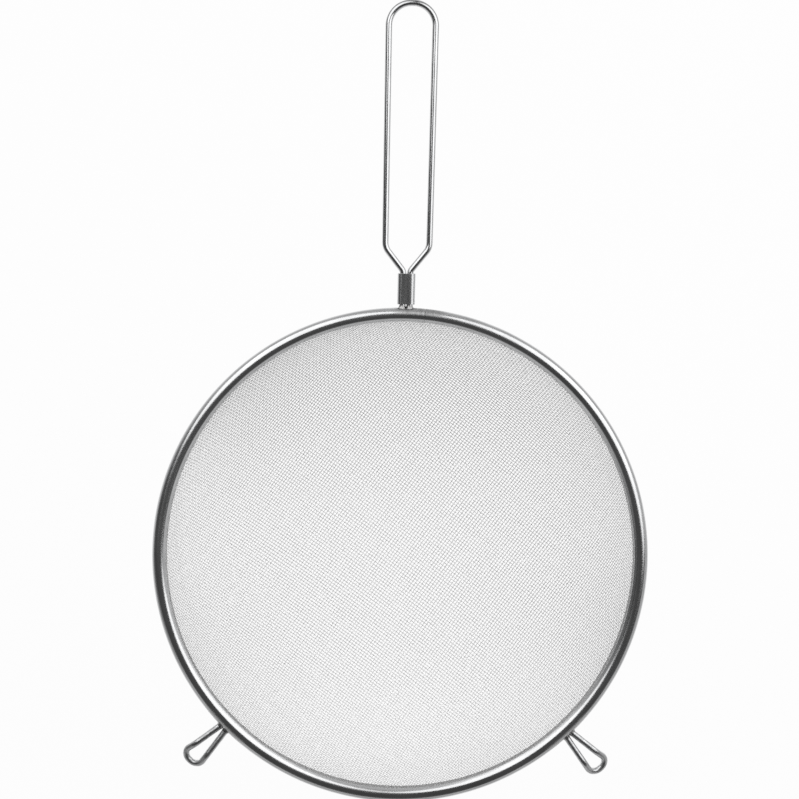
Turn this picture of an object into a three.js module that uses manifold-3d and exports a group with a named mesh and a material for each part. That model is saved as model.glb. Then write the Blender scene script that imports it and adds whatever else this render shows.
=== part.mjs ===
// A round kitchen strainer: a bowl of woven steel cloth gripped in a rolled sheet rim with a wire
// core, a handle of one looped wire in a pressed sleeve, and two wire rests opposite the handle.
// Millimetres, +Z up. The mouth faces up and the handle runs along +Y.

import * as THREE from "three";
import { mergeGeometries, mergeVertices } from "three/addons/utils/BufferGeometryUtils.js";
import Module from "manifold-3d";

const { sin, cos, tan, atan2, sqrt, hypot, PI } = Math;
const degrees = THREE.MathUtils.degToRad;

// Overall sizes
const rimDiameter = 200; // across the outside of the rolled bead
const handleReach = 123.4; // from the rim's outer edge to the far end of the loop
const clearance = 0.3; // between pieces that touch

// Rolled rim: a sheet strip round a core wire, pinched over the hem of the cloth
const beadDiameter = 5.6;
const bandThickness = 0.45;
const gripSlope = degrees(88); // of the two walls that pinch the cloth
const lipLength = 4.4; // inner wall, from the level of the bead's centre to its lower edge
const neckRadius = 0.6; // bend where the bead turns into the outer wall, at the sheet's middle
const landWidth = 1.2; // flat pressed on top of the bead

// Bowl: a shallow crown and a tighter knuckle, up to the slope at which it meets the rim
const crownRadius = 118;
const crownAngle = degrees(30.6);
const clothSlope = degrees(74);

// Wire cloth, with one drawn wire for several real ones
const clothPitch = 1.27; // twenty wires to the inch
const clothWire = 0.3;
const wiresPerDrawnWire = 10;
const weaveTurn = degrees(-34); // direction of the weave against +X
const hemInset = 0.4; // the hem starts this far above the rim's lower edge
const hemGrip = 1.3; // length of each wire that lies in the hem
const flatBeforeRim = 1.2; // the crimp of the wires ends this far below the rim

// Handle: one wire bent into a loop, with both legs in a pressed sleeve
const handleWire = 2.6;
const handleWidth = 21.5; // outside of the loop at its round end
const handleRootWidth = 20.3; // outside of the loop where the legs bend in
const handleRootReach = 24; // from the rim's edge to that bend
const handleBendRadius = 6;
const legBendRadius = 3; // where the legs spread beyond the sleeve
const sleeveGap = 1.3; // between the rim's edge and the sleeve
const sleeveLength = 12.4;
const sleeveThickness = 0.5;
const sleeveCorner = 1.8; // outside of its pressed corners
const sleeveSeam = 0.5; // open seam of the wrapped sheet, underneath
const legRelief = 1; // straight leg beyond the sleeve

// Rests: two loops of wire, spread either side of the line opposite the handle
const restWire = 2.6;
const restAngle = degrees(44.4);
const restRootSpacing = 2.95; // between leg centres at the rim
const restTipWidth = 10.6; // outside of the loop
const restReach = 21.6; // from the rim's edge to the end of the loop, before it is bent down
const restBendReach = 12.5;
const restBend = degrees(30);
const restBendRadius = 5;

// Fineness of the round faces
const rimSides = 60;
const wireSides = 8;
const clothWireSides = 4;
const loopSteps = 8; // along a quarter turn or so
const bendSteps = 4;
const beadSteps = 7; // round the bead, from its flat land to the neck
const lipSteps = 3; // from the lip to the land
const neckSteps = 2;

// Finishes
const rimFinish = { color: 0xc4c6c8, roughness: 0.22 };
const coreFinish = { color: 0x9fa2a5, roughness: 0.4 };
const clothFinish = { color: 0xd4d5d6, roughness: 0.35 };
const wireFinish = { color: 0xc4c6c8, roughness: 0.18 };
const sleeveFinish = { color: 0xb4b6b8, roughness: 0.3 };

// Worked out: a drawn wire holds as much steel as the real wires that it stands for
const drawnPitch = clothPitch * wiresPerDrawnWire;
const drawnArea = (wiresPerDrawnWire * PI * clothWire ** 2) / 4;
const drawnRadius = sqrt((2 * drawnArea) / (clothWireSides * sin((2 * PI) / clothWireSides)));
const crimp = drawnRadius + clearance / 2;
const hemThickness = 2 * drawnRadius;

// Worked out: the rim's section, across and along the wall that grips the cloth
const rimRadius = rimDiameter / 2;
const beadRadius = beadDiameter / 2;
const coreRadius = beadRadius - bandThickness - clearance;
const hemDepth = bandThickness + clearance + hemThickness / 2; // from the lip's face to mid-hem
const hemMiddle = hemDepth - beadRadius; // across the section, from the bead's centre
const outerWall = hemMiddle + hemDepth; // outer face of the outer wall, likewise
const beadCentreRadius = rimRadius - beadRadius;
const gripRadius = beadCentreRadius + hemMiddle * sin(gripSlope) - lipLength * cos(gripSlope);

// Worked out: the bowl's meridian, measured from its lowest point
const knuckleRadius =
  (gripRadius - crownRadius * sin(crownAngle)) / (sin(clothSlope) - sin(crownAngle));
const crownLength = crownRadius * crownAngle;
const knuckleLength = knuckleRadius * (clothSlope - crownAngle);
const gripRun = crownLength + knuckleLength;
const crownCentre = new THREE.Vector2(0, crownRadius);
const knuckleCentre = new THREE.Vector2(
  (crownRadius - knuckleRadius) * sin(crownAngle),
  crownRadius - (crownRadius - knuckleRadius) * cos(crownAngle),
);
const gripHeight = knuckleCentre.y - knuckleRadius * cos(clothSlope);
const beadHeight = gripHeight + hemMiddle * cos(gripSlope) + lipLength * sin(gripSlope);
const flatRun = gripRun - flatBeforeRim;
const lastCrimpRun = flatRun - 2 * drawnRadius;
const wireEndRun = gripRun + hemInset + hemGrip;

// Worked out: the part's origin is under the middle of its length, level with its lowest point
const handleEnd = rimRadius + handleReach;
const midLength = (handleEnd - rimRadius) / 2;
const lowestPoint = -(crimp + drawnRadius);

const wasm = await Module();
wasm.setup();

// A path through given points, with one ring of a swept wire on each point.
class WirePath extends THREE.Curve {
  constructor(points) {
    super();
    this.points = points;
  }
  getPoint(t, target = new THREE.Vector3()) {
    const place = t * (this.points.length - 1);
    const index = Math.min(Math.floor(place), this.points.length - 2);
    return target.lerpVectors(this.points[index], this.points[index + 1], place - index);
  }
  getUtoTmapping(u) {
    return u;
  }
}

function sweptWire(points, radius, sides) {
  const section = new THREE.Shape();
  for (let side = 0; side < sides; side++) {
    const angle = (2 * PI * side) / sides;
    const corner = [radius * cos(angle), radius * sin(angle)];
    if (side === 0) section.moveTo(...corner);
    else section.lineTo(...corner);
  }
  return new THREE.ExtrudeGeometry(section, {
    steps: points.length - 1,
    extrudePath: new WirePath(points),
  });
}

// A polyline with an arc at each inner corner. Each corner is { at, radius, steps }.
function bentPath(corners) {
  const path = [corners[0].at];
  for (let index = 1; index < corners.length - 1; index++) {
    const { at, radius, steps } = corners[index];
    const arriving = at.clone().sub(corners[index - 1].at).normalize();
    const leaving = corners[index + 1].at.clone().sub(at).normalize();
    const turn = arriving.angleTo(leaving);
    const axis = arriving.clone().cross(leaving).normalize();
    const inward = leaving.clone().sub(arriving).normalize();
    const centre = at.clone().addScaledVector(inward, radius / cos(turn / 2));
    const spoke = at.clone().addScaledVector(arriving, -radius * tan(turn / 2)).sub(centre);
    for (let step = 0; step <= steps; step++) {
      path.push(spoke.clone().applyAxisAngle(axis, (turn * step) / steps).add(centre));
    }
  }
  path.push(corners.at(-1).at);
  return path;
}

function arcPoints(centre, radius, from, to, steps) {
  const points = [];
  for (let step = 0; step <= steps; step++) {
    const angle = from + ((to - from) * step) / steps;
    points.push(
      new THREE.Vector2(centre.x + radius * cos(angle), centre.y + radius * sin(angle)),
    );
  }
  return points;
}

// Revolves a closed outline given across and along the rim's section, from the bead's centre.
function revolvedRim(outline) {
  const profile = outline.map(
    ({ x: across, y: along }) =>
      new THREE.Vector2(
        beadCentreRadius + across * sin(gripSlope) + along * cos(gripSlope),
        beadHeight - across * cos(gripSlope) + along * sin(gripSlope),
      ),
  );
  profile.push(profile[0].clone());
  return new THREE.LatheGeometry(profile, rimSides).rotateX(PI / 2);
}

function solidOf(geometry) {
  const bare = geometry.clone();
  bare.deleteAttribute("normal");
  bare.deleteAttribute("uv");
  const merged = mergeVertices(bare);
  return new wasm.Manifold(
    new wasm.Mesh({
      numProp: 3,
      vertProperties: merged.attributes.position.array,
      triVerts: new Uint32Array(merged.index.array),
    }),
  );
}

function geometryOf(solid) {
  const { vertProperties, triVerts } = solid.getMesh();
  const geometry = new THREE.BufferGeometry();
  geometry.setAttribute("position", new THREE.BufferAttribute(vertProperties, 3));
  geometry.setIndex(new THREE.BufferAttribute(triVerts, 1));
  geometry.computeVertexNormals();
  return geometry;
}

// The strip's section: up the lip, round the bead with its flat land, through the neck and down
// the outer wall, then back along the inside of the sheet.
function rimBand() {
  const bead = new THREE.Vector2(0, 0);
  const wallMiddle = outerWall - bandThickness / 2;
  const neckReach = beadRadius - bandThickness / 2 + neckRadius;
  const neckAcross = wallMiddle + neckRadius;
  const neck = new THREE.Vector2(neckAcross, -sqrt(neckReach ** 2 - neckAcross ** 2));
  const neckAngle = atan2(neck.y, neck.x);
  const top = PI - gripSlope; // direction of +Z in the section
  const halfLand = Math.asin(landWidth / 2 / beadRadius);
  const outside = beadRadius;
  const inside = beadRadius - bandThickness;
  const neckOutside = neckRadius - bandThickness / 2;
  const neckInside = neckRadius + bandThickness / 2;
  return revolvedRim([
    new THREE.Vector2(-outside, -lipLength),
    ...arcPoints(bead, outside, PI, top + halfLand, lipSteps),
    ...arcPoints(bead, outside, top - halfLand, neckAngle, beadSteps),
    ...arcPoints(neck, neckOutside, neckAngle + PI, PI, neckSteps).slice(1),
    new THREE.Vector2(outerWall, -lipLength),
    new THREE.Vector2(outerWall - bandThickness, -lipLength),
    ...arcPoints(neck, neckInside, PI, neckAngle + PI, neckSteps),
    ...arcPoints(bead, inside, neckAngle, PI, beadSteps).slice(1),
    new THREE.Vector2(-inside, -lipLength),
  ].reverse());
}

function rimCore() {
  const centre = new THREE.Vector2(0, 0);
  return revolvedRim(arcPoints(centre, coreRadius, 0, 2 * PI, wireSides).slice(1));
}

function clothHem() {
  const low = hemInset - lipLength;
  const high = -coreRadius - clearance;
  const inner = hemMiddle - hemThickness / 2;
  const outer = hemMiddle + hemThickness / 2;
  return revolvedRim([
    new THREE.Vector2(inner, low),
    new THREE.Vector2(outer, low),
    new THREE.Vector2(outer, high),
    new THREE.Vector2(inner, high),
  ]);
}

// Radius, height and slope of the cloth at a run along its meridian, the last of it in the rim.
function meridian(run) {
  const onCrown = run < crownLength;
  const slope = onCrown
    ? run / crownRadius
    : crownAngle + Math.min(run - crownLength, knuckleLength) / knuckleRadius;
  const centre = onCrown ? crownCentre : knuckleCentre;
  const arc = onCrown ? crownRadius : knuckleRadius;
  const straight = Math.max(0, run - gripRun);
  return {
    radius: centre.x + arc * sin(slope) + straight * cos(gripSlope),
    height: centre.y - arc * cos(slope) + straight * sin(gripSlope),
    slope: straight > 0 ? gripSlope : slope,
  };
}

// The run along the meridian of the point nearest to a radius and a height.
function nearestRun(radius, height) {
  const crownSlope = atan2(radius, crownCentre.y - height);
  if (crownSlope < crownAngle) return crownRadius * crownSlope;
  const knuckleSlope = atan2(radius - knuckleCentre.x, knuckleCentre.y - height);
  if (knuckleSlope < clothSlope) return crownLength + knuckleRadius * (knuckleSlope - crownAngle);
  const outward = (radius - gripRadius) * cos(gripSlope);
  return gripRun + Math.max(0, outward + (height - gripHeight) * sin(gripSlope));
}

// A crossing of two wires: its place on the bowl, the run to it and the normal out of the bowl.
function crossingOn(run, azimuth) {
  const { radius, height, slope } = meridian(run);
  return {
    run,
    place: new THREE.Vector3(radius * cos(azimuth), radius * sin(azimuth), height),
    normal: new THREE.Vector3(sin(slope) * cos(azimuth), sin(slope) * sin(azimuth), -cos(slope)),
  };
}

function crossingNear(point) {
  const run = nearestRun(hypot(point.x, point.y), point.z);
  return crossingOn(run, atan2(point.y, point.x));
}

// Pressing cloth into a bowl shears it but keeps its wires' spacing: the next crossing lies on
// the bowl, one pitch from its two neighbours.
function nextCrossing(first, second, before) {
  const settlingRounds = 30;
  let found = crossingNear(first.place.clone().add(second.place).sub(before.place));
  for (let round = 0; round < settlingRounds; round++) {
    for (const { place } of [first, second]) {
      const moved = found.place.clone().sub(place).setLength(drawnPitch).add(place);
      found = crossingNear(moved);
    }
  }
  return found;
}

// One quarter of the weave, from the middle of the bowl to the first crossings past the hem.
function weaveQuarter() {
  const count = Math.ceil(wireEndRun / drawnPitch);
  const quarter = [];
  for (let i = 0; i <= count; i++) {
    quarter.push([]);
    for (let j = 0; j <= count; j++) {
      if (i === 0 || j === 0) {
        quarter[i][j] = crossingOn((i + j) * drawnPitch, i === 0 ? PI / 2 : 0);
        continue;
      }
      const first = quarter[i - 1][j];
      const second = quarter[i][j - 1];
      const reachesHem = first && second && Math.min(first.run, second.run) < wireEndRun;
      quarter[i][j] = reachesHem ? nextCrossing(first, second, quarter[i - 1][j - 1]) : null;
    }
  }
  return quarter;
}

// The crossing at signed counts from the middle, by the mirror symmetry of the weave.
function crossingAt(quarter, i, j) {
  const { run, place, normal } = quarter[Math.abs(i)][Math.abs(j)];
  const mirror = new THREE.Vector3(i < 0 ? -1 : 1, j < 0 ? -1 : 1, 1);
  return { run, place: place.clone().multiply(mirror), normal: normal.clone().multiply(mirror) };
}

function lifted({ place, normal }, lift) {
  return place.clone().addScaledVector(normal, lift);
}

// Half of a wire, outwards from its middle: over and under up to the rim, then flat into the hem.
function halfWire(crossing, lift, way) {
  const points = [];
  let last = crossing(0);
  for (let step = way; last.run < wireEndRun; step += way) {
    const next = crossing(step);
    for (const gate of [flatRun, (flatRun + wireEndRun) / 2, wireEndRun]) {
      if (last.run < gate && next.run >= gate) {
        const share = (gate - last.run) / (next.run - last.run);
        points.push(crossingNear(last.place.clone().lerp(next.place, share)).place);
      }
    }
    if (next.run < lastCrimpRun) points.push(lifted(next, lift(step)));
    last = next;
  }
  return points;
}

// All the wires of one way of the weave, as one geometry of separate wires.
function wiresOneWay(quarter, isWarp) {
  const wires = [];
  const count = quarter.length - 1;
  for (let row = -count; row <= count; row++) {
    const crossing = (step) =>
      isWarp ? crossingAt(quarter, step, row) : crossingAt(quarter, row, step);
    const lift = (step) => ((step + row) % 2 === 0) === isWarp ? crimp : -crimp;
    const middle = crossing(0);
    if (middle.run >= lastCrimpRun) continue;
    const points = [
      ...halfWire(crossing, lift, -1).reverse(),
      lifted(middle, lift(0)),
      ...halfWire(crossing, lift, 1),
    ];
    wires.push(sweptWire(points, drawnRadius, clothWireSides));
  }
  return mergeGeometries(wires).rotateZ(weaveTurn);
}

function meshBowl() {
  const quarter = weaveQuarter();
  const warp = solidOf(wiresOneWay(quarter, true));
  const weft = solidOf(wiresOneWay(quarter, false));
  return geometryOf(warp.add(weft).add(solidOf(clothHem())));
}

// The wires of the handle and of the rests butt on the outside of the bead, level with its middle.
const seatReach = rimRadius + clearance;
const legOffset = handleWire / 2 + clearance / 2;
const sleeveStart = rimRadius + sleeveGap;
const sleeveEnd = sleeveStart + sleeveLength;

function handleLoop() {
  const rootHalf = (handleRootWidth - handleWire) / 2;
  const endHalf = (handleWidth - handleWire) / 2;
  const half = [
    { at: [legOffset, seatReach] },
    { at: [legOffset, sleeveEnd + legRelief], radius: legBendRadius, steps: bendSteps },
    { at: [rootHalf, rimRadius + handleRootReach], radius: handleBendRadius, steps: bendSteps },
    {
      at: [endHalf, handleEnd - handleWire / 2],
      radius: endHalf - clearance,
      steps: loopSteps,
    },
  ];
  const mirrored = half.map((corner) => ({ ...corner, at: [-corner.at[0], corner.at[1]] }));
  const corners = [...half, ...mirrored.reverse()].map((corner) => ({
    ...corner,
    at: new THREE.Vector3(corner.at[0], corner.at[1], beadHeight),
  }));
  return sweptWire(bentPath(corners), handleWire / 2, wireSides);
}

// A strip folded round both legs and pressed square, with its seam underneath.
function handleSleeve() {
  const inside = handleWire / 2 + clearance;
  const outside = inside + sleeveThickness;
  const edge = sleeveSeam / 2;
  const across = legOffset + outside - sleeveCorner;
  const up = outside - sleeveCorner;
  const corners = [
    { x: across, y: -up, from: -PI / 2 },
    { x: across, y: up, from: 0 },
    { x: -across, y: up, from: PI / 2 },
    { x: -across, y: -up, from: PI },
  ];
  const section = new THREE.Shape();
  section.moveTo(edge, -outside);
  for (const { x, y, from } of corners) {
    section.absarc(x, y, sleeveCorner, from, from + PI / 2, false);
  }
  section.lineTo(-edge, -outside);
  section.lineTo(-edge, -inside);
  for (const { x, y, from } of corners.reverse()) {
    section.absarc(x, y, sleeveCorner - sleeveThickness, from + PI / 2, from, true);
  }
  section.lineTo(edge, -inside);
  section.closePath();
  const sleeve = new THREE.ExtrudeGeometry(section, {
    depth: sleeveLength,
    bevelEnabled: false,
    curveSegments: bendSteps,
  });
  return sleeve.rotateX(PI / 2).translate(0, sleeveEnd, beadHeight);
}

// One rest, along +Y from the bowl's axis: a teardrop loop with its end bent down.
function restLoop() {
  const rootHalf = restRootSpacing / 2;
  const bendAt = rimRadius + restBendReach;
  const tail = restReach - restWire / 2 - restBendReach;
  const tipAt = bendAt + tail * cos(restBend);
  const tipDrop = tail * sin(restBend);
  const tipHalf = (restTipWidth - restWire) / 2;
  const spread = atan2(tipHalf - rootHalf, restReach);
  const tipRadius = tipHalf - clearance;
  const cornerHalf = tipRadius * tan(PI / 4 + spread / 2) + clearance;
  const bendShare = (bendAt - seatReach) / (bendAt + tail - seatReach);
  const bendHalf = rootHalf + (cornerHalf - rootHalf) * bendShare;
  const half = [
    { at: [rootHalf, seatReach, 0] },
    { at: [bendHalf, bendAt, 0], radius: restBendRadius, steps: bendSteps },
    { at: [cornerHalf, tipAt, -tipDrop], radius: tipRadius, steps: loopSteps },
  ];
  const mirrored = half.map((corner) => ({
    ...corner,
    at: [-corner.at[0], corner.at[1], corner.at[2]],
  }));
  const corners = [...half, ...mirrored.reverse()].map((corner) => ({
    ...corner,
    at: new THREE.Vector3(corner.at[0], corner.at[1], beadHeight + corner.at[2]),
  }));
  return sweptWire(bentPath(corners), restWire / 2, wireSides);
}

const strainer = new THREE.Group();
strainer.position.set(0, -midLength, -lowestPoint);

function addPiece(name, geometry, finish) {
  const steel = new THREE.MeshStandardMaterial({ ...finish, metalness: 1 });
  const mesh = new THREE.Mesh(geometry, steel);
  mesh.name = name;
  strainer.add(mesh);
  return mesh;
}

addPiece("rim_band", rimBand(), rimFinish);
addPiece("rim_core_wire", rimCore(), coreFinish);
addPiece("mesh_bowl", meshBowl(), clothFinish);
addPiece("handle_wire", handleLoop(), wireFinish);
addPiece("handle_sleeve", handleSleeve(), sleeveFinish);
for (const [name, side] of [["rest_left", -1], ["rest_right", 1]]) {
  const rest = addPiece(name, restLoop(), wireFinish);
  rest.rotation.z = PI + side * restAngle;
}

const group = new THREE.Group();
group.add(strainer);
export default group;
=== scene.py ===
"""Looks of a kitchen strainer of woven steel wire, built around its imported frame.

Metres, +Z up: the mouth of the bowl faces up and the handle runs along +Y.
"""

from math import asin, atan2, ceil, cos, pi, radians, sin, sqrt, tan

import bpy
import numpy as np
from mathutils import Matrix, Vector


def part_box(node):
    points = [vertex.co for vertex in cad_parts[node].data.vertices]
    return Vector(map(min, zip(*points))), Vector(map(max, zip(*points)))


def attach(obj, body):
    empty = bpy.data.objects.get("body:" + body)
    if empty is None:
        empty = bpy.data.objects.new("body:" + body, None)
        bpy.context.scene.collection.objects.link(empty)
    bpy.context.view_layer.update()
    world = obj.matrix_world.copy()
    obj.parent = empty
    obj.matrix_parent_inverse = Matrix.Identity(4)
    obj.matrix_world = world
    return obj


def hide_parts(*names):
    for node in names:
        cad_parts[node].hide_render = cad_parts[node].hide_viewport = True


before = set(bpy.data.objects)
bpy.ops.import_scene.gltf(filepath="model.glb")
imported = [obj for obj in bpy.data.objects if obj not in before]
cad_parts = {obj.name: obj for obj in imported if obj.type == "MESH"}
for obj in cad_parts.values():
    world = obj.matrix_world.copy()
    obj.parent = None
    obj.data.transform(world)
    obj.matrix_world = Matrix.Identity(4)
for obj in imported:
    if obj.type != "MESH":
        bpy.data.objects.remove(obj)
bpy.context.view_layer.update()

MM = 0.001

# Rolled rim, as in the part's source
RIM_RADIUS = 100 * MM
BEAD_RADIUS = 2.8 * MM
BAND_THICKNESS = 0.45 * MM
LIP_LENGTH = 4.4 * MM
NECK_RADIUS = 0.6 * MM
LAND_WIDTH = 1.2 * MM
CORE_RADIUS = 2.05 * MM
HEM_MIDDLE = -1.4555 * MM
OUTER_WALL = -0.111 * MM
GRIP_SLOPE = radians(88)
FACET_SLOPE = radians(45)
FACET_CORNER = 0.4 * MM
SEAM_OFFSET = 7.8 * MM
SEAM_GAP = 0.16 * MM

# Bowl and its cloth
CROWN_RADIUS = 118 * MM
CROWN_ANGLE = radians(30.6)
CLOTH_SLOPE = radians(74)
CLOTH_PITCH = 1.27 * MM
CLOTH_WIRE = 0.3 * MM
WEAVE_TURN = radians(-34)
HEM_GRIP = 1.6 * MM
HEM_INSET = 0.35 * MM
HEM_SLACK = 0.05 * MM
SETTLING_ROUNDS = 10

# Handle, sleeve and rests
HANDLE_WIRE = 2.6 * MM
HANDLE_WIDTH = 21.5 * MM
HANDLE_ROOT_WIDTH = 20.3 * MM
HANDLE_ROOT_REACH = 24 * MM
HANDLE_REACH = 123.4 * MM
HANDLE_BEND_RADIUS = 6 * MM
LEG_BEND_RADIUS = 3 * MM
LEG_RELIEF = 1 * MM
SLEEVE_THICKNESS = 0.5 * MM
SLEEVE_SEAM = 0.5 * MM
SLEEVE_CORNER = 1.8 * MM
SLEEVE_EDGE = 0.12 * MM
REST_WIRE = 2.6 * MM
REST_ANGLE = radians(44.4)
REST_ROOT_SPACING = 2.95 * MM
REST_TIP_WIDTH = 10.6 * MM
REST_REACH = 21.6 * MM
REST_BEND_REACH = 12.5 * MM
REST_BEND = radians(30)
REST_BEND_RADIUS = 5 * MM
CLEARANCE = 0.3 * MM

# Welds: lumps that flare from the wires' ends onto the bead, and the worked steel round them, with
# painted shade on it beside the handle
WELD_FLARE = 0.32
WELD_LUMPS = 0.09
WELD_WAVES = (3, 5)
LEFT_PHASE = 0
RIGHT_PHASE = 2
WELD_LENGTH = 0.7 * MM
WELD_BITE = 0.1 * MM
PATCH_END = 4 * MM
PATCH_EDGE = 0.6 * MM
# Worked steel beside the handle, whose darker colour is painted shade
HANDLE_BURNISH_AND_SHADE = (6 * MM, 9.5 * MM, 0.2 * MM)
REST_GROUND = (0, 10 * MM, 0.9 * MM)

# Fineness
RIM_STEPS = 420
BEAD_STEPS = 44
WIRE_SIDES = 24
CLOTH_WIRE_SIDES = 6
BEND_STEPS = 14
LOOP_STEPS = 36
LIP_POINTS = 8
OUTER_WALL_POINTS = 6
LIP_BEND_STEPS = 6
NECK_STEPS = 8
SLEEVE_BEND_STEPS = 8
SLEEVE_EDGE_STEPS = 2
WELD_ROWS = 8
SHARP_ANGLE = radians(40)

# Steel: scales are features to the metre, those of the clouds are times the streaks' along the grain
CLOUDS_ALONG = 4
CLOUDS_ACROSS = 8
SCRATCHES_ALONG = 900
SCRATCHES_ACROSS = 120
NOISE_LOW = 0.3
NOISE_HIGH = 0.7
MESH_TONES = 4
MESH_DARK = 0.9
MESH_LIGHT = 0.95
MESH_SHADE_STEP = 0.01
MESH_SMOOTH = 0.62
MESH_ROUGH = 0.7
MESH_ROUGHNESS_STEP = 0.02
TONE_STEP = 7
TONE_REPEAT = 3

# Camera, fitted to the photograph's rim, handle and rests
PICTURE_SIDE = 799
PICTURE_SCALE = 0.4026 * MM
CAMERA_DISTANCE = 1.5
CAMERA_TILT = radians(3)
CAMERA_SIDE = radians(-1.06)
CAMERA_ROLL = radians(-1.3)
CAMERA_TARGET = (-1.735 * MM, 1.25 * MM, 68.1 * MM)
SENSOR_WIDTH = 36

# Floor and light: strengths of which 1 is white, and softboxes by azimuth, zenith, distance and size
FLOOR_HALF = 6
FLOOR_SHADE = 0.9
FLOOR_ROUGHNESS = 0.9
FLOOR_GLOW = 0.965
FLOOR_FAR = 0.4
POOL_RADIUS = 0.1
POOL_EDGE = 0.35
ROOM_WALLS = 0.58
ROOM_CEILING = 0.06
WALLS_TOP = 0.15
CEILING_EDGE = 0.52
FLAG_SHARE = 0.08
FLAG_EDGE = -0.75
SOFTBOXES = {
    "left softbox": (radians(124), radians(49), 0.8, 0.8, 0.88),
    "right softbox": (radians(38), radians(50), 0.65, 0.84, 0.72),
}
SOFTBOX_RADIANCE = 1.4

# Places, from the frame
rim_low, rim_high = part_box("rim_band")
handle_low, handle_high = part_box("handle_wire")
sleeve_low, sleeve_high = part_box("handle_sleeve")
_, rest_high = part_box("rest_left")
AXIS_Y = (rim_low.y + rim_high.y) / 2
BEAD_Z = rim_high.z - sqrt(BEAD_RADIUS**2 - (LAND_WIDTH / 2) ** 2)
HANDLE_Z = (handle_low.z + handle_high.z) / 2
REST_Z = rest_high.z - REST_WIRE / 2

# The bowl's meridian, measured from its lowest point, and that point's height
BEAD_CENTRE = RIM_RADIUS - BEAD_RADIUS
GRIP_RADIUS = BEAD_CENTRE + HEM_MIDDLE * sin(GRIP_SLOPE) - LIP_LENGTH * cos(GRIP_SLOPE)
KNUCKLE_SPAN = GRIP_RADIUS - CROWN_RADIUS * sin(CROWN_ANGLE)
KNUCKLE_RADIUS = KNUCKLE_SPAN / (sin(CLOTH_SLOPE) - sin(CROWN_ANGLE))
CROWN_LENGTH = CROWN_RADIUS * CROWN_ANGLE
KNUCKLE_LENGTH = KNUCKLE_RADIUS * (CLOTH_SLOPE - CROWN_ANGLE)
GRIP_RUN = CROWN_LENGTH + KNUCKLE_LENGTH
KNUCKLE_ACROSS = (CROWN_RADIUS - KNUCKLE_RADIUS) * sin(CROWN_ANGLE)
KNUCKLE_UP = CROWN_RADIUS - (CROWN_RADIUS - KNUCKLE_RADIUS) * cos(CROWN_ANGLE)
GRIP_HEIGHT = KNUCKLE_UP - KNUCKLE_RADIUS * cos(CLOTH_SLOPE)
BOWL_Z = BEAD_Z - GRIP_HEIGHT - HEM_MIDDLE * cos(GRIP_SLOPE) - LIP_LENGTH * sin(GRIP_SLOPE)

# Ends of the cloth's wires and of the legs, and the floor
WIRE_END_RUN = GRIP_RUN + HEM_GRIP
FLOOR_Z = BOWL_Z - CLOTH_WIRE
LEG_OFFSET = (HANDLE_WIRE + CLEARANCE) / 2
LEG_ROOT = RIM_RADIUS + CLEARANCE

# Marks at the points of a piece, which its material reads
GRAIN = "grain"
# Worked steel beside the handle, rougher, and darker by painted shade
BURNISH_AND_SHADE = "burnish_and_shade"
GROUND = "ground"
# Painted shade in the inner corner of the lip, where the cloth enters
PAINTED_RECESS_SHADE = "painted_recess_shade"


# Mesh building


def unit(vectors):
    return vectors / np.linalg.norm(vectors, axis=-1, keepdims=True)


def new_piece(name, points, face_groups, grain):
    """A smooth object from points, groups of equal-sized faces and a place along the steel's grain."""
    corners = np.concatenate([group.ravel() for group in face_groups])
    sizes = np.concatenate([np.full(len(group), group.shape[1]) for group in face_groups])
    mesh = bpy.data.meshes.new(name)
    mesh.vertices.add(len(points))
    mesh.vertices.foreach_set("co", points.astype(np.float32).ravel())
    mesh.loops.add(len(corners))
    mesh.loops.foreach_set("vertex_index", corners.astype(np.int32))
    mesh.polygons.add(len(sizes))
    mesh.polygons.foreach_set("loop_start", (np.cumsum(sizes) - sizes).astype(np.int32))
    mesh.update(calc_edges=True)
    mesh.validate()
    mesh.polygons.foreach_set("use_smooth", np.ones(len(sizes), bool))
    mesh.set_sharp_from_angle(angle=SHARP_ANGLE)
    layer = mesh.attributes.new(GRAIN, "FLOAT_VECTOR", "POINT")
    layer.data.foreach_set("vector", grain.astype(np.float32).ravel())
    piece = bpy.data.objects.new(name, mesh)
    bpy.context.scene.collection.objects.link(piece)
    return piece


def mark(piece, name, values):
    """Stores a number at each point of a piece for its material."""
    layer = piece.data.attributes.new(name, "FLOAT", "POINT")
    layer.data.foreach_set("value", values.astype(np.float32).ravel())


def grid_faces(rows, columns, wraps):
    """Quads between rows of points that close on themselves; the rows too where wraps is true."""
    row = np.arange(rows if wraps else rows - 1)[:, None]
    column = np.arange(columns)[None, :]
    next_row = (row + 1) % rows
    next_column = (column + 1) % columns
    corners = [
        row * columns + column,
        row * columns + next_column,
        next_row * columns + next_column,
        next_row * columns + column,
    ]
    return np.stack([np.broadcast_to(c, (len(row), columns)) for c in corners], -1).reshape(-1, 4)


def tube_faces(rows, sides):
    """Faces of a tube of rings, with flat ends."""
    ring = np.arange(sides)
    caps = np.stack([ring[::-1], ring + (rows - 1) * sides])
    return [grid_faces(rows, sides, False), caps]


def swept_wire(path, up, radius, sides):
    """Points, faces and grain of a round wire along a path, with flat ends."""
    along = unit(np.gradient(path, axis=0))
    up = unit(up - np.sum(up * along, -1, keepdims=True) * along)
    side = np.cross(along, up)
    angle = 2 * pi * np.arange(sides) / sides
    spokes = np.cos(angle)[:, None] * up[:, None, :] + np.sin(angle)[:, None] * side[:, None, :]
    points = (path[:, None, :] + radius * spokes).reshape(-1, 3)
    lengths = np.concatenate([[0], np.cumsum(np.linalg.norm(np.diff(path, axis=0), axis=1))])
    grain = np.empty((len(path), sides, 3))
    grain[..., 0] = lengths[:, None]
    grain[..., 1] = radius * np.cos(angle)
    grain[..., 2] = radius * np.sin(angle)
    return points, tube_faces(len(path), sides), grain.reshape(-1, 3)


def arc(centre, radius, start, end, steps):
    angle = np.linspace(start, end, steps + 1)
    return np.stack([centre[0] + radius * np.cos(angle), centre[1] + radius * np.sin(angle)], 1)


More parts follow.
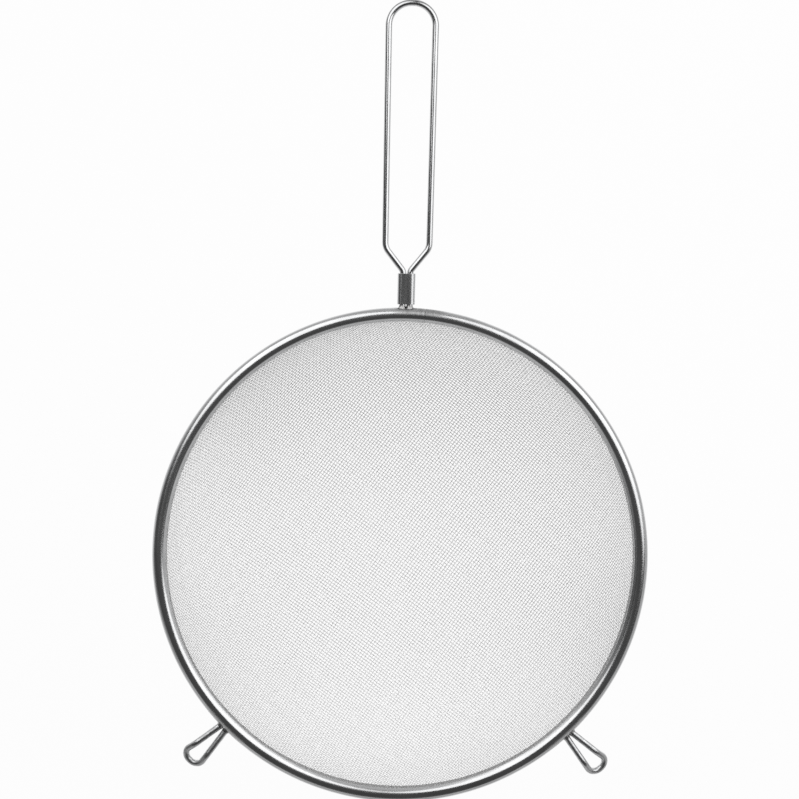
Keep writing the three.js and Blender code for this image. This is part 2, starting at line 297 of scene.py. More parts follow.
def bent_path(corners):
    """A path through corners, each a point, a bend radius and the bend's steps."""
    path = [corners[0][0]]
    for index in range(1, len(corners) - 1):
        at, radius, steps = corners[index]
        arriving = (at - corners[index - 1][0]).normalized()
        leaving = (corners[index + 1][0] - at).normalized()
        turn = arriving.angle(leaving)
        centre = at + (leaving - arriving).normalized() * radius / cos(turn / 2)
        spoke = at - arriving * radius * tan(turn / 2) - centre
        axis = arriving.cross(leaving)
        for step in range(steps + 1):
            path.append(centre + Matrix.Rotation(turn * step / steps, 3, axis) @ spoke)
    path.append(corners[-1][0])
    return np.array(path)


def strip_outline(middle, thickness):
    """Closed outline of a sheet strip along its middle line, walked with the sheet on the left."""
    along = unit(np.gradient(middle, axis=0))
    left = np.stack([-along[:, 1], along[:, 0]], 1) * thickness / 2
    return np.concatenate([middle - left, (middle + left)[::-1]])


def strip_caps(count, rows):
    """Quads that close both ends of a swept strip outline."""
    step = np.arange(count // 2 - 1)
    first = np.stack([step, step + 1, count - 2 - step, count - 1 - step], 1)
    return [first[:, ::-1], first + (rows - 1) * count]


def rim_place(section):
    """Radius and height of points given across and along the rim's section, from the bead's centre."""
    across, along = section[:, 0], section[:, 1]
    radius = BEAD_CENTRE + across * sin(GRIP_SLOPE) + along * cos(GRIP_SLOPE)
    height = BEAD_Z - across * cos(GRIP_SLOPE) + along * sin(GRIP_SLOPE)
    return radius, height


def revolved(section, start, sweep, steps):
    """Points and grain of an outline turned about the bowl's axis."""
    radius, height = rim_place(section)
    angle = start + sweep * np.arange(steps + 1) / steps
    points = np.empty((steps + 1, len(section), 3))
    points[..., 0] = radius * np.cos(angle)[:, None]
    points[..., 1] = radius * np.sin(angle)[:, None] + AXIS_Y
    points[..., 2] = height
    steps_along = np.linalg.norm(np.diff(section, axis=0), axis=1)
    grain = np.zeros_like(points)
    grain[..., 0] = (angle * RIM_RADIUS)[:, None]
    grain[..., 1] = np.concatenate([[0], np.cumsum(steps_along)])
    return points, grain


# Rim


def rim_band():
    """The strip: up the lip, over the bead with its flat inner side and down the outer wall."""
    reach = BEAD_RADIUS - BAND_THICKNESS / 2
    wall = OUTER_WALL - BAND_THICKNESS / 2
    neck_across = wall + NECK_RADIUS
    neck = (neck_across, -sqrt((reach + NECK_RADIUS) ** 2 - neck_across**2))
    neck_angle = atan2(neck[1], neck[0])
    facet_angle = pi / 2 + FACET_SLOPE
    lip_top = (reach - FACET_CORNER) * tan(pi / 4 - FACET_SLOPE / 2)
    lip_heights = np.linspace(-LIP_LENGTH, lip_top, LIP_POINTS)
    lip = np.stack([np.full(LIP_POINTS, -reach), lip_heights], 1)
    corner = arc((FACET_CORNER - reach, lip_top), FACET_CORNER, pi, facet_angle, LIP_BEND_STEPS)
    bead = arc((0, 0), reach, facet_angle, neck_angle, BEAD_STEPS)
    bend = arc(neck, NECK_RADIUS, neck_angle + pi, pi, NECK_STEPS)
    outer_heights = np.linspace(bend[-1, 1], -LIP_LENGTH, OUTER_WALL_POINTS)
    outer = np.stack([np.full(OUTER_WALL_POINTS, wall), outer_heights], 1)
    middle = np.concatenate([lip[:-1], corner, bead, bend[1:], outer[1:]])
    outline = strip_outline(middle, BAND_THICKNESS)
    seam = pi / 2 - asin(SEAM_OFFSET / RIM_RADIUS)
    half_gap = SEAM_GAP / 2 / RIM_RADIUS
    points, grain = revolved(outline, seam - half_gap, -2 * pi + 2 * half_gap, RIM_STEPS)
    rows = RIM_STEPS + 1
    faces = [grid_faces(rows, len(outline), False), *strip_caps(len(outline), rows)]
    piece = new_piece("rim_strip", points.reshape(-1, 3), faces, grain.reshape(-1, 3))
    # Painted shade: a darker colour in the lip's inner corner, where the cloth enters the strip
    corner_depth = np.clip((lip_top + FACET_CORNER - outline[:, 1]) / FACET_CORNER, 0, 1)
    painted_recess_shade = np.where(outline[:, 0] < -reach / 2, corner_depth, 0)
    # Patch beside the handle: worked steel, with painted shade that dims the bead's highlight
    mark(piece, BURNISH_AND_SHADE, worked(points, {0: HANDLE_BURNISH_AND_SHADE}))
    rest_patches = {pi - REST_ANGLE: REST_GROUND, pi + REST_ANGLE: REST_GROUND}
    mark(piece, GROUND, worked(points, rest_patches))
    mark(piece, PAINTED_RECESS_SHADE, np.tile(painted_recess_shade, rows))
    return piece


def worked(points, patches):
    """How far the rim is worked over, from 0 to 1, in patches on its outer side; the patch at the
    handle carries painted shade as well.

    The patches are keyed by their angle from the handle. Each has its offset to the right, half its
    length and how far out from the crest it begins.
    """
    across = points[..., 0]
    forward = points[..., 1] - AXIS_Y
    azimuth = np.arctan2(forward, across)
    outwards = np.hypot(across, forward) - BEAD_CENTRE
    most = np.zeros_like(azimuth)
    for angle, (to_right, half, edge) in patches.items():
        turned = (azimuth - pi / 2 - angle + pi) % (2 * pi) - pi
        away = np.abs(turned * RIM_RADIUS + to_right)
        along = np.clip((half - away) / PATCH_END + 0.5, 0, 1)
        outside = np.clip((outwards - edge) / PATCH_EDGE + 0.5, 0, 1)
        most = np.maximum(most, along * outside)
    return most


def rim_ring(name, outline):
    """A closed ring from an outline across and along the rim's section."""
    points, grain = revolved(outline, 0, -2 * pi, RIM_STEPS)
    faces = [grid_faces(RIM_STEPS, len(outline), True)]
    return new_piece(name, points[:-1].reshape(-1, 3), faces, grain[:-1].reshape(-1, 3))


def core_wire():
    return rim_ring("core_ring", arc((0, 0), CORE_RADIUS, 0, 2 * pi, WIRE_SIDES)[:-1])


def cloth_hem():
    """The edge of the cloth, folded and crushed between the strip's two walls."""
    half = OUTER_WALL - BAND_THICKNESS - HEM_SLACK - HEM_MIDDLE
    low = HEM_INSET - LIP_LENGTH
    high = -BEAD_RADIUS
    inner = HEM_MIDDLE - half
    outer = HEM_MIDDLE + half
    corners = [(inner, low), (outer, low), (outer, high), (inner, high)]
    return rim_ring("cloth_hem", np.array(corners))


# Cloth


def meridian(run):
    """Radius, height and slope of the bowl at runs along its meridian."""
    on_crown = run < CROWN_LENGTH
    bent = CROWN_ANGLE + np.minimum(run - CROWN_LENGTH, KNUCKLE_LENGTH) / KNUCKLE_RADIUS
    slope = np.where(on_crown, run / CROWN_RADIUS, bent)
    across = np.where(on_crown, 0, KNUCKLE_ACROSS)
    up = np.where(on_crown, CROWN_RADIUS, KNUCKLE_UP)
    bend = np.where(on_crown, CROWN_RADIUS, KNUCKLE_RADIUS)
    straight = np.maximum(0, run - GRIP_RUN)
    radius = across + bend * np.sin(slope) + straight * cos(GRIP_SLOPE)
    height = up - bend * np.cos(slope) + straight * sin(GRIP_SLOPE)
    return radius, height, np.where(straight > 0, GRIP_SLOPE, slope)


def nearest_run(radius, height):
    crown_slope = np.arctan2(radius, CROWN_RADIUS - height)
    knuckle_slope = np.arctan2(radius - KNUCKLE_ACROSS, KNUCKLE_UP - height)
    straight = (radius - GRIP_RADIUS) * cos(GRIP_SLOPE) + (height - GRIP_HEIGHT) * sin(GRIP_SLOPE)
    on_knuckle = CROWN_LENGTH + KNUCKLE_RADIUS * (knuckle_slope - CROWN_ANGLE)
    beyond_crown = np.where(knuckle_slope < CLOTH_SLOPE, on_knuckle, GRIP_RUN + np.maximum(0, straight))
    return np.where(crown_slope < CROWN_ANGLE, CROWN_RADIUS * crown_slope, beyond_crown)


def on_bowl(points):
    """The run, place and outward normal of the bowl's points nearest to given ones."""
    run = nearest_run(np.hypot(points[..., 0], points[..., 1]), points[..., 2])
    azimuth = np.arctan2(points[..., 1], points[..., 0])
    radius, height, slope = meridian(run)
    place = np.stack([radius * np.cos(azimuth), radius * np.sin(azimuth), height], -1)
    across = np.sin(slope)
    normal = np.stack([across * np.cos(azimuth), across * np.sin(azimuth), -np.cos(slope)], -1)
    return run, place, normal


def weave_quarter():
    """Runs and places of the crossings in one quarter of the weave.

    Pressing cloth into a bowl shears it but keeps its wires' spacing: each crossing lies on the
    bowl, one pitch from its two neighbours.
    """
    count = ceil(WIRE_END_RUN / CLOTH_PITCH) + 1
    run = np.full((count + 1, count + 1), np.inf)
    place = np.zeros((count + 1, count + 1, 3))
    straight = np.arange(count + 1) * CLOTH_PITCH
    radius, height, _ = meridian(straight)
    zero = np.zeros_like(radius)
    run[:, 0] = straight
    run[0, :] = straight
    place[:, 0] = np.stack([radius, zero, height], 1)
    place[0, :] = np.stack([zero, radius, height], 1)
    for total in range(2, 2 * count + 1):
        i = np.arange(max(1, total - count), min(count, total - 1) + 1)
        j = total - i
        nearer = np.minimum(run[i - 1, j], run[i, j - 1])
        farther = np.maximum(run[i - 1, j], run[i, j - 1])
        reached = (nearer < WIRE_END_RUN) & np.isfinite(farther)
        i, j = i[reached], j[reached]
        first, second = place[i - 1, j], place[i, j - 1]
        _, found, _ = on_bowl(first + second - place[i - 1, j - 1])
        for _ in range(SETTLING_ROUNDS):
            for neighbour in (first, second):
                found_run, found, _ = on_bowl(neighbour + unit(found - neighbour) * CLOTH_PITCH)
        run[i, j] = found_run
        place[i, j] = found
    return run, place


def half_wire(run, place, parity):
    """Path and normals of half a wire, outwards from its middle, lifted over or under each crossing."""
    inside = int(np.argmax(run >= WIRE_END_RUN))
    share = (WIRE_END_RUN - run[inside - 1]) / (run[inside] - run[inside - 1])
    end = place[inside - 1] + (place[inside] - place[inside - 1]) * share
    _, path, normal = on_bowl(np.concatenate([place[:inside], end[None]]))
    lift = np.where((np.arange(inside + 1) + parity) % 2, -1, 1) * CLOTH_WIRE / 2
    return path + normal * lift[:, None], normal


def cloth_wires(run, place, is_warp):
    """All the wires of one way of the weave, each a path with normals."""
    if not is_warp:
        run = run.T
        place = place.transpose(1, 0, 2)
    flip_along = np.array([-1, 1, 1] if is_warp else [1, -1, 1])
    flip_across = np.array([1, -1, 1] if is_warp else [-1, 1, 1])
    wires = []
    for row in range(run.shape[1]):
        if run[0, row] >= WIRE_END_RUN:
            break
        path, normal = half_wire(run[:, row], place[:, row], row + (0 if is_warp else 1))
        path = np.concatenate([(path * flip_along)[:0:-1], path])
        normal = np.concatenate([(normal * flip_along)[:0:-1], normal])
        wires.append((path, normal))
        if row > 0:
            wires.insert(0, (path * flip_across, normal * flip_across))
    return wires


def cloth_piece(name, wires, tones):
    """One piece of many wires, each in one of the tones of steel."""
    turn = np.array(Matrix.Rotation(WEAVE_TURN, 3, "Z"))
    centre = np.array([0, AXIS_Y, BOWL_Z])
    points, quads, caps, grain, tone_of_quads, tone_of_caps = [], [], [], [], [], []
    first = 0
    for index, (path, normal) in enumerate(wires):
        wire = swept_wire(path @ turn.T + centre, normal @ turn.T, CLOTH_WIRE / 2, CLOTH_WIRE_SIDES)
        points.append(wire[0])
        quads.append(wire[1][0] + first)
        caps.append(wire[1][1] + first)
        grain.append(wire[2])
        tone = (index * TONE_STEP + index // TONE_REPEAT) % len(tones)
        tone_of_quads.append(np.full(len(wire[1][0]), tone))
        tone_of_caps.append(np.full(2, tone))
        first += len(wire[0])
    faces = [np.concatenate(quads), np.concatenate(caps)]
    piece = new_piece(name, np.concatenate(points), faces, np.concatenate(grain))
    for tone in tones:
        piece.data.materials.append(tone)
    tone_of_faces = np.concatenate(tone_of_quads + tone_of_caps)
    piece.data.polygons.foreach_set("material_index", tone_of_faces.astype(np.int32))
    return piece


# Handle, sleeve, rests and their welds


def mirrored(half):
    """Corners of a whole loop from those of its +X half."""
    flipped = [(Vector((-at.x, at.y, at.z)), *bend) for at, *bend in half]
    return half + flipped[::-1]


def about_axis(turn):
    """The move of a piece built about the origin onto the bowl's axis, turned by an angle."""
    return Matrix.Translation((0, AXIS_Y, 0)) @ Matrix.Rotation(turn, 4, "Z")


def wire_piece(name, corners, diameter):
    path = bent_path(corners)
    up = np.tile([0.0, 0.0, 1.0], (len(path), 1))
    return new_piece(name, *swept_wire(path, up, diameter / 2, WIRE_SIDES))


def handle_loop():
    root_half = (HANDLE_ROOT_WIDTH - HANDLE_WIRE) / 2
    end_half = (HANDLE_WIDTH - HANDLE_WIRE) / 2
    end_y = AXIS_Y + RIM_RADIUS + HANDLE_REACH - HANDLE_WIRE / 2
    root_y = AXIS_Y + RIM_RADIUS + HANDLE_ROOT_REACH
    half = [
        (Vector((LEG_OFFSET, AXIS_Y + LEG_ROOT, HANDLE_Z)),),
        (Vector((LEG_OFFSET, sleeve_high.y + LEG_RELIEF, HANDLE_Z)), LEG_BEND_RADIUS, BEND_STEPS),
        (Vector((root_half, root_y, HANDLE_Z)), HANDLE_BEND_RADIUS, BEND_STEPS),
        (Vector((end_half, end_y, HANDLE_Z)), end_half - CLEARANCE, LOOP_STEPS),
    ]
    return wire_piece("handle_loop", mirrored(half), HANDLE_WIRE)


def sleeve():
    """A sheet folded round both legs and pressed flat, with its open seam underneath."""
    wide = (sleeve_high.x - sleeve_low.x - SLEEVE_THICKNESS) / 2
    high = (sleeve_high.z - sleeve_low.z - SLEEVE_THICKNESS) / 2
    corner = SLEEVE_CORNER - SLEEVE_THICKNESS / 2
    inner_wide = wide - corner
    inner_high = high - corner
    turns = [(1, -1, -pi / 2), (1, 1, 0), (-1, 1, pi / 2), (-1, -1, pi)]
    bends = [
        arc((x * inner_wide, z * inner_high), corner, start, start + pi / 2, SLEEVE_BEND_STEPS)
        for x, z, start in turns
    ]
    right_edge = np.array([[SLEEVE_SEAM / 2, -high]])
    left_edge = np.array([[-SLEEVE_SEAM / 2, -high]])
    outline = strip_outline(np.concatenate([right_edge, *bends, left_edge]), SLEEVE_THICKNESS)
    ends = (sleeve_high.y, sleeve_low.y)
    points = np.array([[(x, y, z + HANDLE_Z) for x, z in outline] for y in ends]).reshape(-1, 3)
    faces = [grid_faces(2, len(outline), False), *strip_caps(len(outline), 2)]
    piece = new_piece("sleeve", points, faces, points[:, [1, 0, 2]])
    edges = piece.modifiers.new("rounded edges", "BEVEL")
    edges.width = SLEEVE_EDGE
    edges.segments = SLEEVE_EDGE_STEPS
    edges.limit_method = "ANGLE"
    edges.angle_limit = SHARP_ANGLE
    return piece


def rest(name, turn):
    """A teardrop loop with its end bent down, turned about the bowl's axis from the handle's place."""
    root_half = REST_ROOT_SPACING / 2
    bend_at = RIM_RADIUS + REST_BEND_REACH
    tail = REST_REACH - REST_WIRE / 2 - REST_BEND_REACH
    tip_half = (REST_TIP_WIDTH - REST_WIRE) / 2
    splay = atan2(tip_half - root_half, REST_REACH)
    tip_radius = tip_half - CLEARANCE
    corner_half = tip_radius * tan(pi / 4 + splay / 2) + CLEARANCE
    bend_share = (bend_at - LEG_ROOT) / (bend_at + tail - LEG_ROOT)
    bend_half = root_half + (corner_half - root_half) * bend_share
    tip_z = REST_Z - tail * sin(REST_BEND)
    half = [
        (Vector((root_half, LEG_ROOT, REST_Z)),),
        (Vector((bend_half, bend_at, REST_Z)), REST_BEND_RADIUS, BEND_STEPS),
        (Vector((corner_half, bend_at + tail * cos(REST_BEND), tip_z)), tip_radius, LOOP_STEPS),
    ]
    piece = wire_piece(name, mirrored(half), REST_WIRE)
    piece.data.transform(about_axis(turn))
    return piece


def weld_lump(offset, diameter, phase):
    """A lump round the end of a wire that runs along +Y, at an offset across, on the bead's outside."""
    angle = 2 * pi * np.arange(WIRE_SIDES) / WIRE_SIDES
    share = np.linspace(0, 1, WELD_ROWS + 1)[:, None]
    few, many = WELD_WAVES
    bumps = np.sin(few * angle + phase) + np.sin(many * angle + 2 * phase)
    reach = diameter / 2 * (1 + (1 - share) ** 2 * (WELD_FLARE + WELD_LUMPS * bumps))
    across = offset + reach * np.sin(angle)
    up = reach * np.cos(angle)
    bead = BEAD_CENTRE + np.sqrt(BEAD_RADIUS**2 - up**2)
    foot = np.sqrt(bead**2 - across**2) - WELD_BITE
    along = foot * (1 - share) + (LEG_ROOT + WELD_LENGTH) * share
    points = np.stack([across, along, up + BEAD_Z], -1).reshape(-1, 3)
    return points, tube_faces(WELD_ROWS + 1, WIRE_SIDES)


def welds(name, offset, diameter, turn):
    """The two welds of a loop's legs, turned about the bowl's axis."""
    left = weld_lump(-offset, diameter, LEFT_PHASE)
    right = weld_lump(offset, diameter, RIGHT_PHASE)
    points = np.concatenate([left[0], right[0]])
    faces = [np.concatenate([a, b + len(left[0])]) for a, b in zip(left[1], right[1])]
    piece = new_piece(name, points, faces, points)
    piece.data.transform(about_axis(turn))
    return piece


# Materials


def steel(name, colour, roughness):
    """A material with the steel's shader, and its node tree and shader."""
    material = bpy.data.materials.new(name)
    material.use_nodes = True
    tree = material.node_tree
    shader = tree.nodes["Principled BSDF"]
    shader.inputs["Metallic"].default_value = 1
    shader.inputs["Base Color"].default_value = (*colour, 1)
    shader.inputs["Roughness"].default_value = roughness
    return material, tree, shader


def grain_noise(tree, along, across):
    """Noise drawn out along the steel's grain; the scales are features to the metre."""
    place = tree.nodes.new("ShaderNodeAttribute")
    place.attribute_name = GRAIN
    scaled = tree.nodes.new("ShaderNodeVectorMath")
    scaled.operation = "MULTIPLY"
    scaled.inputs[1].default_value = (along, across, across)
    noise = tree.nodes.new("ShaderNodeTexNoise")
    noise.inputs["Scale"].default_value = 1
    noise.inputs["Detail"].default_value = 1
    tree.links.new(place.outputs["Vector"], scaled.inputs[0])
    tree.links.new(scaled.outputs[0], noise.inputs["Vector"])
    return noise.outputs["Fac"]


def spread(tree, value, low, high):
    """A value between low and high from a noise's middle range."""
    node = tree.nodes.new("ShaderNodeMapRange")
    node.inputs["From Min"].default_value = NOISE_LOW
    node.inputs["From Max"].default_value = NOISE_HIGH
    node.inputs["To Min"].default_value = low
    node.inputs["To Max"].default_value = high
    tree.links.new(value, node.inputs["Value"])
    return node.outputs["Result"]


def drawn_steel(name, dark, light, smooth, rough, along, across, depth):
    """Steel with fine streaks along its grain, in gloss and in relief, and clouds in its colour."""
    material, tree, shader = steel(name, light, smooth)
    streaks = grain_noise(tree, along, across)
    clouds = grain_noise(tree, along * CLOUDS_ALONG, along * CLOUDS_ACROSS)
    blend = tree.nodes.new("ShaderNodeMix")
    blend.data_type = "RGBA"
    blend.inputs["A"].default_value = (*dark, 1)
    blend.inputs["B"].default_value = (*light, 1)
    tree.links.new(spread(tree, clouds, 0, 1), blend.inputs["Factor"])
    tree.links.new(blend.outputs["Result"], shader.inputs["Base Color"])
    tree.links.new(spread(tree, streaks, smooth, rough), shader.inputs["Roughness"])
    relief = tree.nodes.new("ShaderNodeBump")
    relief.inputs["Strength"].default_value = 1
    relief.inputs["Distance"].default_value = depth
    tree.links.new(streaks, relief.inputs["Height"])
    tree.links.new(relief.outputs["Normal"], shader.inputs["Normal"])
    return material


def changed_where(material, mark_name, low, colour, roughness):
    """Turns a steel's colour and roughness to others, in scratches across it, where it is marked."""
    tree = material.node_tree
    shader = tree.nodes["Principled BSDF"]
    marked = tree.nodes.new("ShaderNodeAttribute")
    marked.attribute_name = mark_name
    scratches = grain_noise(tree, SCRATCHES_ALONG, SCRATCHES_ACROSS)
    scratched = tree.nodes.new("ShaderNodeMath")
    scratched.operation = "MULTIPLY"
    tree.links.new(marked.outputs["Fac"], scratched.inputs[0])
    tree.links.new(spread(tree, scratches, low, 1), scratched.inputs[1])
    targets = [("Base Color", "RGBA", (*colour, 1)), ("Roughness", "FLOAT", roughness)]
    for name, data_type, target in targets:
        blend = tree.nodes.new("ShaderNodeMix")
        blend.data_type = data_type
        sockets = [s for s in blend.inputs if s.enabled]
        before = shader.inputs[name].links[0].from_socket
        tree.links.new(scratched.outputs[0], sockets[0])
        tree.links.new(before, sockets[1])
        sockets[2].default_value = target
        result = [s for s in blend.outputs if s.enabled][0]
        tree.links.new(result, shader.inputs[name])


def rim_steel():
    """Polished strip: burnished at the handle, with painted shade that dims its highlight there, ground
    at the rests, and painted shade in the corner where the cloth enters.
    """
    material = drawn_steel(
        "rim steel",
        dark=(0.64, 0.645, 0.65),
        light=(0.74, 0.745, 0.75),
        smooth=0.18,
        rough=0.25,
        along=20,
        across=500,
        depth=0.001 * MM,
    )
    # Worked steel beside the handle: rougher, and a darker colour that is painted shade, dimming the
    # bead's highlight there
    changed_where(material, BURNISH_AND_SHADE, low=0.5, colour=(0.36, 0.36, 0.36), roughness=0.45)
    changed_where(material, GROUND, low=0.5, colour=(0.74, 0.74, 0.74), roughness=0.5)
    # Painted shade darkens the lip's inner corner where the cloth enters
    changed_where(material, PAINTED_RECESS_SHADE, low=0.9, colour=(0.34, 0.34, 0.34), roughness=0.35)
    return material


def core_steel():
    return drawn_steel(
        "core steel",
        dark=(0.45, 0.455, 0.46),
        light=(0.6, 0.605, 0.61),
        smooth=0.3,
        rough=0.5,
        along=60,
        across=4000,
        depth=0.01 * MM,
    )


def wire_steel():
    return drawn_steel(
        "wire steel",
        dark=(0.64, 0.645, 0.65),
        light=(0.74, 0.745, 0.75),
        smooth=0.13,
        rough=0.18,
        along=20,
        across=500,
        depth=0.001 * MM,
    )


def sleeve_steel():
    return drawn_steel(
        "sleeve steel",
        dark=(0.6, 0.605, 0.61),
        light=(0.68, 0.685, 0.69),
        smooth=0.22,
        rough=0.28,
        along=30,
        across=700,
        depth=0.0005 * MM,
    )


def rest_steel():
    return drawn_steel(
        "rest steel",
        dark=(0.5, 0.505, 0.51),
        light=(0.74, 0.745, 0.75),
        smooth=0.24,
        rough=0.38,
        along=150,
        across=600,
        depth=0.003 * MM,
    )


def weld_steel():
    return drawn_steel(
        "weld steel",
        dark=(0.3, 0.295, 0.29),
        light=(0.6, 0.6, 0.6),
        smooth=0.2,
        rough=0.4,
        along=900,
        across=900,
        depth=0.04 * MM,
    )


def mesh_tones():
    """Steels for the cloth's wires, each a little paler and glossier than the one before."""
    tones = []
    for index in range(MESH_TONES):
        tone = drawn_steel(
            f"mesh steel {index}",
            dark=(MESH_DARK + MESH_SHADE_STEP * index,) * 3,
            light=(MESH_LIGHT + MESH_SHADE_STEP * index,) * 3,
            smooth=MESH_SMOOTH - MESH_ROUGHNESS_STEP * index,
            rough=MESH_ROUGH - MESH_ROUGHNESS_STEP * index,
            along=80,
            across=1500,
            depth=0.0002 * MM,
        )
        tones.append(tone)
    return tones


def put_on(piece, material, slot, *nodes):
    """Gives a piece its material and its place in the frame."""
    if material:
        piece.data.materials.append(material)
    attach(piece, "root")
    for node in nodes:
        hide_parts(node)


# Stage


def link(object_data, name):
    made = bpy.data.objects.new(name, object_data)
    bpy.context.scene.collection.objects.link(made)
    return made


def seen_rays(tree):
    """1 for camera, glossy and transmission rays, 0 for the others."""
    path = tree.nodes.new("ShaderNodeLightPath")
    total = path.outputs["Is Camera Ray"]
    for kind in ("Is Glossy Ray", "Is Transmission Ray"):
        most = tree.nodes.new("ShaderNodeMath")
        most.operation = "MAXIMUM"
        tree.links.new(total, most.inputs[0])
        tree.links.new(path.outputs[kind], most.inputs[1])
        total = most.outputs[0]
    return total


def floor_strength(tree):
    """The floor's glow: 1 to the camera, and to the steel a pool of light that fades from the bowl."""
    place = tree.nodes.new("ShaderNodeNewGeometry")
    reach = tree.nodes.new("ShaderNodeVectorMath")
    reach.operation = "DISTANCE"
    reach.inputs[1].default_value = (0, AXIS_Y, FLOOR_Z)
    pool = tree.nodes.new("ShaderNodeMapRange")
    pool.inputs["From Min"].default_value = POOL_RADIUS
    pool.inputs["From Max"].default_value = POOL_EDGE
    pool.inputs["To Min"].default_value = 1
    pool.inputs["To Max"].default_value = FLOOR_FAR
    path = tree.nodes.new("ShaderNodeLightPath")
    strength = tree.nodes.new("ShaderNodeMapRange")
    strength.inputs["To Min"].default_value = 1
    tree.links.new(place.outputs["Position"], reach.inputs[0])
    tree.links.new(reach.outputs["Value"], pool.inputs["Value"])
    tree.links.new(pool.outputs["Result"], strength.inputs["To Max"])
    tree.links.new(path.outputs["Is Glossy Ray"], strength.inputs["Value"])
    return strength.outputs["Result"]


def white_floor():
    """A matt pale floor that glows to the rays that see it and keeps a faint shadow."""
    material = bpy.data.materials.new("white floor")
    material.use_nodes = True
    tree = material.node_tree
    shader = tree.nodes["Principled BSDF"]
    shader.inputs["Base Color"].default_value = (FLOOR_SHADE, FLOOR_SHADE, FLOOR_SHADE, 1)
    shader.inputs["Roughness"].default_value = FLOOR_ROUGHNESS
    shader.inputs["Specular IOR Level"].default_value = 0
    glow = tree.nodes.new("ShaderNodeEmission")
    share = tree.nodes.new("ShaderNodeMath")
    share.operation = "MULTIPLY"
    share.inputs[1].default_value = FLOOR_GLOW
    mix = tree.nodes.new("ShaderNodeMixShader")
    tree.links.new(floor_strength(tree), glow.inputs["Strength"])
    tree.links.new(seen_rays(tree), share.inputs[0])
    tree.links.new(share.outputs[0], mix.inputs["Fac"])
    tree.links.new(shader.outputs[0], mix.inputs[1])
    tree.links.new(glow.outputs[0], mix.inputs[2])
    tree.links.new(mix.outputs[0], tree.nodes["Material Output"].inputs["Surface"])
    return material


def pale_floor():
    mesh = bpy.data.meshes.new("floor")
    signs = [(-1, -1), (1, -1), (1, 1), (-1, 1)]
    corners = [(x * FLOOR_HALF, y * FLOOR_HALF, FLOOR_Z) for x, y in signs]
    mesh.from_pydata(corners, [], [(0, 1, 2, 3)])
    mesh.materials.append(white_floor())
    floor = link(mesh, "floor")


def softbox(name, azimuth, zenith, distance, width, height):
    """A soft lamp that faces the middle of the bowl from a direction about it."""
    lamp = bpy.data.lights.new(name, "AREA")
    lamp.shape = "ELLIPSE"
    lamp.size = width
    lamp.size_y = height
    lamp.energy = SOFTBOX_RADIANCE * pi * (pi / 4 * width * height)
    made = link(lamp, name)
    made.visible_camera = False
    way = Vector((sin(zenith) * cos(azimuth), sin(zenith) * sin(azimuth), cos(zenith)))
    made.location = Vector((0, AXIS_Y, BEAD_Z)) + way * distance
    made.rotation_mode = "QUATERNION"
    made.rotation_quaternion = way.to_track_quat("Z", "Y")


def studio_world():
    """White to the camera; to the steel pale walls, a dark ceiling and a dark flag on the left."""
    world = bpy.data.worlds.new("studio")
    world.use_nodes = True
    bpy.context.scene.world = world
    tree = world.node_tree
    room = tree.nodes["Background"]
    way = tree.nodes.new("ShaderNodeTexCoord")
    parts = tree.nodes.new("ShaderNodeSeparateXYZ")
    height = tree.nodes.new("ShaderNodeMapRange")
    height.interpolation_type = "SMOOTHSTEP"
    height.inputs["From Min"].default_value = WALLS_TOP
    height.inputs["From Max"].default_value = CEILING_EDGE
    height.inputs["To Min"].default_value = ROOM_WALLS
    height.inputs["To Max"].default_value = ROOM_CEILING
    tree.links.new(way.outputs["Generated"], parts.inputs[0])
    tree.links.new(parts.outputs["Z"], height.inputs["Value"])
    flag = tree.nodes.new("ShaderNodeMapRange")
    flag.inputs["From Min"].default_value = -1
    flag.inputs["From Max"].default_value = FLAG_EDGE
    flag.inputs["To Min"].default_value = FLAG_SHARE
    strength = tree.nodes.new("ShaderNodeMath")
    strength.operation = "MULTIPLY"
    tree.links.new(parts.outputs["X"], flag.inputs["Value"])
    tree.links.new(height.outputs["Result"], strength.inputs[0])
    tree.links.new(flag.outputs["Result"], strength.inputs[1])
    tree.links.new(strength.outputs[0], room.inputs["Strength"])
    room.inputs["Color"].default_value = (1, 1, 1, 1)
    backdrop = tree.nodes.new("ShaderNodeBackground")
    backdrop.inputs["Color"].default_value = (1, 1, 1, 1)
    mix = tree.nodes.new("ShaderNodeMixShader")
    path = tree.nodes.new("ShaderNodeLightPath")
    tree.links.new(path.outputs["Is Camera Ray"], mix.inputs["Fac"])
    tree.links.new(room.outputs[0], mix.inputs[1])
    tree.links.new(backdrop.outputs[0], mix.inputs[2])
    tree.links.new(mix.outputs[0], tree.nodes["World Output"].inputs["Surface"])


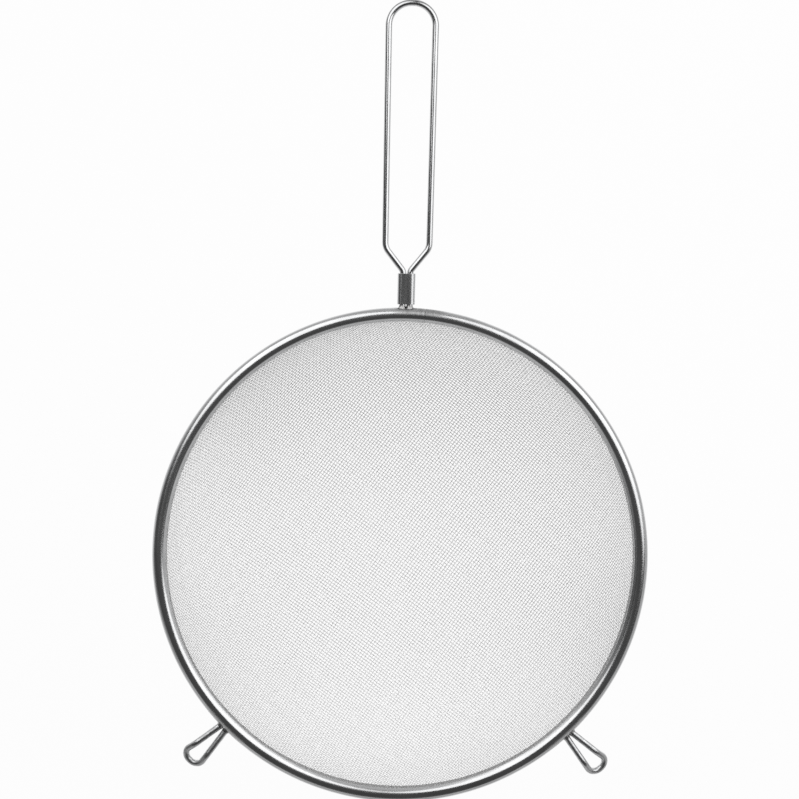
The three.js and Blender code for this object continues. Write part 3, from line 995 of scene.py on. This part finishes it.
def photo_camera():
    data = bpy.data.cameras.new("camera")
    data.sensor_width = SENSOR_WIDTH
    data.lens = SENSOR_WIDTH * CAMERA_DISTANCE / (PICTURE_SCALE * PICTURE_SIDE)
    camera = link(data, "camera")
    across, forward = sin(CAMERA_SIDE), sin(CAMERA_TILT)
    back = Vector((across, forward, sqrt(1 - across**2 - forward**2)))
    right = Vector((sin(CAMERA_ROLL), cos(CAMERA_ROLL), 0)).cross(back).normalized()
    up = back.cross(right)
    camera.matrix_world = Matrix((right, up, back)).transposed().to_4x4()
    camera.location = Vector(CAMERA_TARGET) + back * CAMERA_DISTANCE
    bpy.context.scene.camera = camera


# The pieces

put_on(rim_band(), rim_steel(), "rim_steel", "rim_band")
put_on(core_wire(), core_steel(), "core_steel", "rim_core_wire")
put_on(handle_loop(), wire_steel(), "wire_steel", "handle_wire")
put_on(sleeve(), sleeve_steel(), "sleeve_steel", "handle_sleeve")
rest_turns = {"left": pi - REST_ANGLE, "right": pi + REST_ANGLE}
rest_material = rest_steel()
for name, turn in rest_turns.items():
    put_on(rest(f"rest_loop_{name}", turn), rest_material, "wire_steel", f"rest_{name}")
weld_material = weld_steel()
put_on(welds("handle_welds", LEG_OFFSET, HANDLE_WIRE, 0), weld_material, "wire_steel")
for name, turn in rest_turns.items():
    rest_welds = welds(f"{name}_rest_welds", REST_ROOT_SPACING / 2, REST_WIRE, turn)
    put_on(rest_welds, weld_material, "wire_steel")

tones = mesh_tones()
put_on(cloth_hem(), tones[1], "mesh_steel", "mesh_bowl")
weave_run, weave_place = weave_quarter()
for way, is_warp in (("warp", True), ("weft", False)):
    wires = cloth_wires(weave_run, weave_place, is_warp)
    half = len(wires) // 2
    for part, share in (("a", wires[:half]), ("b", wires[half:])):
        cloth = cloth_piece(f"{way}_wires_{part}", share, tones)
        put_on(cloth, None, "mesh_steel", "mesh_bowl")

# The stage

pale_floor()
studio_world()
for name, setting in SOFTBOXES.items():
    softbox(name, *setting)
photo_camera()
bpy.context.scene.view_settings.view_transform = "Standard"
# The denoiser would smear the cloth, whose wires are finer than a pixel
bpy.context.scene.cycles.use_denoising = False
